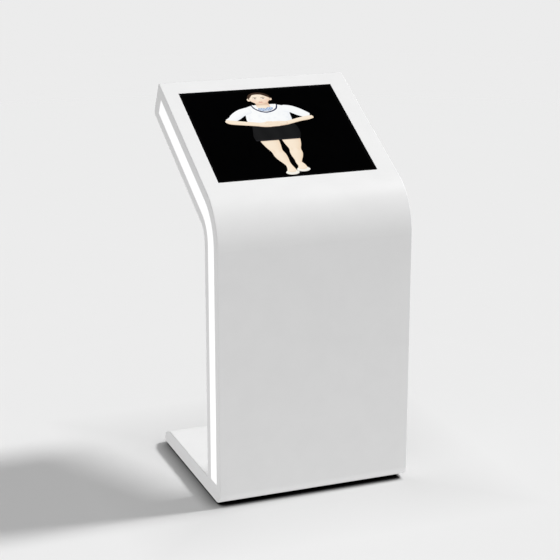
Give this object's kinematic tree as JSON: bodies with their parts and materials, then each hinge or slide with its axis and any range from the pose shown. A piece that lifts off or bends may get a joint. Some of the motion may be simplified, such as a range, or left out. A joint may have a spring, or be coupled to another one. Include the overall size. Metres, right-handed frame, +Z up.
{
  "type": "touchscreen kiosk",
  "caption": "Free-standing Z-shaped touchscreen kiosk: sloping head with a flush screen, slim column, rearward foot, and a light strip down each side.",
  "frame": {"origin": "on the floor, under the middle of the bounding box", "axes": "+X across the kiosk, to the right of a user who faces it; -Y towards the user; +Z up"},
  "size_m": [0.55, 0.5344, 1.0698],
  "materials": {
    "shell_paint": "satin white powder coat",
    "zinc_steel": "zinc-plated sheet",
    "dark_paint": "fine matt black powder coat",
    "screw_steel": "zinc-plated",
    "black_rubber": "matt",
    "white_plastic": "smooth moulded",
    "lock_chrome": "polished",
    "black_plastic": "fine-grained moulded",
    "paper_cone": "coated paper",
    "magnet": "ground ferrite and steel",
    "screen_glass": "polished, edge printed black",
    "display_panel": "smooth black",
    "clear_acrylic": "polished clear",
    "circuit_board": "lacquered",
    "opal_light": "opal white, lit from behind",
    "channel_aluminium": "anodised",
    "led_tape": "white solder mask",
    "led_chip": "phosphor under clear resin",
    "case_aluminium": "satin",
    "contact_brass": "nickel-washed"
  },
  "bodies": {
    "kiosk": {"main_shell": "shell_paint", "rib_right": "zinc_steel", "rib_left": "zinc_steel", "base_bottom_plate": "dark_paint", "base_rails": "zinc_steel", "base_screws": "screw_steel", "base_nuts": "screw_steel", "rubber_feet": "black_rubber", "foot_screws": "screw_steel", "hinge_bushes": "white_plastic", "door_gasket": "black_rubber", "head_rear_cover": "shell_paint", "cover_screws": "screw_steel", "fan_frame": "black_plastic", "fan_screws": "screw_steel", "speaker_baskets": "black_plastic", "speaker_cones": "paper_cone", "speaker_magnets": "magnet", "touch_glass": "screen_glass", "glass_seal": "black_rubber", "glass_frame": "dark_paint", "lcd_panel": "display_panel", "lcd_housing": "zinc_steel", "light_guide": "clear_acrylic", "lcd_screws": "screw_steel", "display_bars": "zinc_steel", "bar_screws": "screw_steel", "display_board": "circuit_board", "touch_controller": "circuit_board", "diffuser_right": "opal_light", "diffuser_left": "opal_light", "led_channel_right": "channel_aluminium", "led_channel_left": "channel_aluminium", "led_tapes": "led_tape", "led_chips": "led_chip", "equipment_plate": "zinc_steel", "tray_screws": "screw_steel", "power_supply": "case_aluminium", "led_driver": "white_plastic", "media_player": "dark_paint", "inlet_body": "black_plastic", "inlet_pins": "contact_brass", "inlet_screws": "screw_steel", "mains_cable": "black_rubber", "led_leads": "white_plastic", "display_power_cable": "black_rubber", "video_cable": "black_rubber", "touch_cable": "black_rubber", "speaker_leads": "black_rubber", "fan_lead": "black_rubber"},
    "door": {"rear_door": "shell_paint", "hinge_pins": "screw_steel", "lock_body": "lock_chrome", "lock_nut": "screw_steel"},
    "lock": {"lock_plug": "lock_chrome", "lock_cam": "screw_steel", "lock_cam_screw": "screw_steel"},
    "fan": {"fan_rotor": "black_plastic"},
    "rocker": {"power_rocker": "black_plastic"},
    "player_button": {"media_player_button": "black_plastic"}
  },
  "joints": [
    {"name": "door_hinge", "type": "hinge", "parent": "kiosk", "child": "door", "pos_m": [-0.219, -0.16975, 0.40365], "axis": [0, 0, 1], "range_deg": [0, 110]},
    {"name": "lock_turn", "type": "hinge", "parent": "door", "child": "lock", "pos_m": [0.211, -0.16325, 0.40365], "axis": [0, -1, 0], "range_deg": [0, 90]},
    {"name": "fan_spin", "type": "hinge", "parent": "kiosk", "child": "fan", "pos_m": [0, 0.15052, 0.91627], "axis": [0, -0.4772, 0.8788], "continuous": true},
    {"name": "rocker_tilt", "type": "hinge", "parent": "kiosk", "child": "rocker", "pos_m": [-0.133, -0.16325, 0.086], "axis": [-1, 0, 0], "range_deg": [0, 16]},
    {"name": "button_press", "type": "slide", "parent": "kiosk", "child": "player_button", "axis": [0, -1, 0], "range_m": [0, 0.0008]}
  ]
}
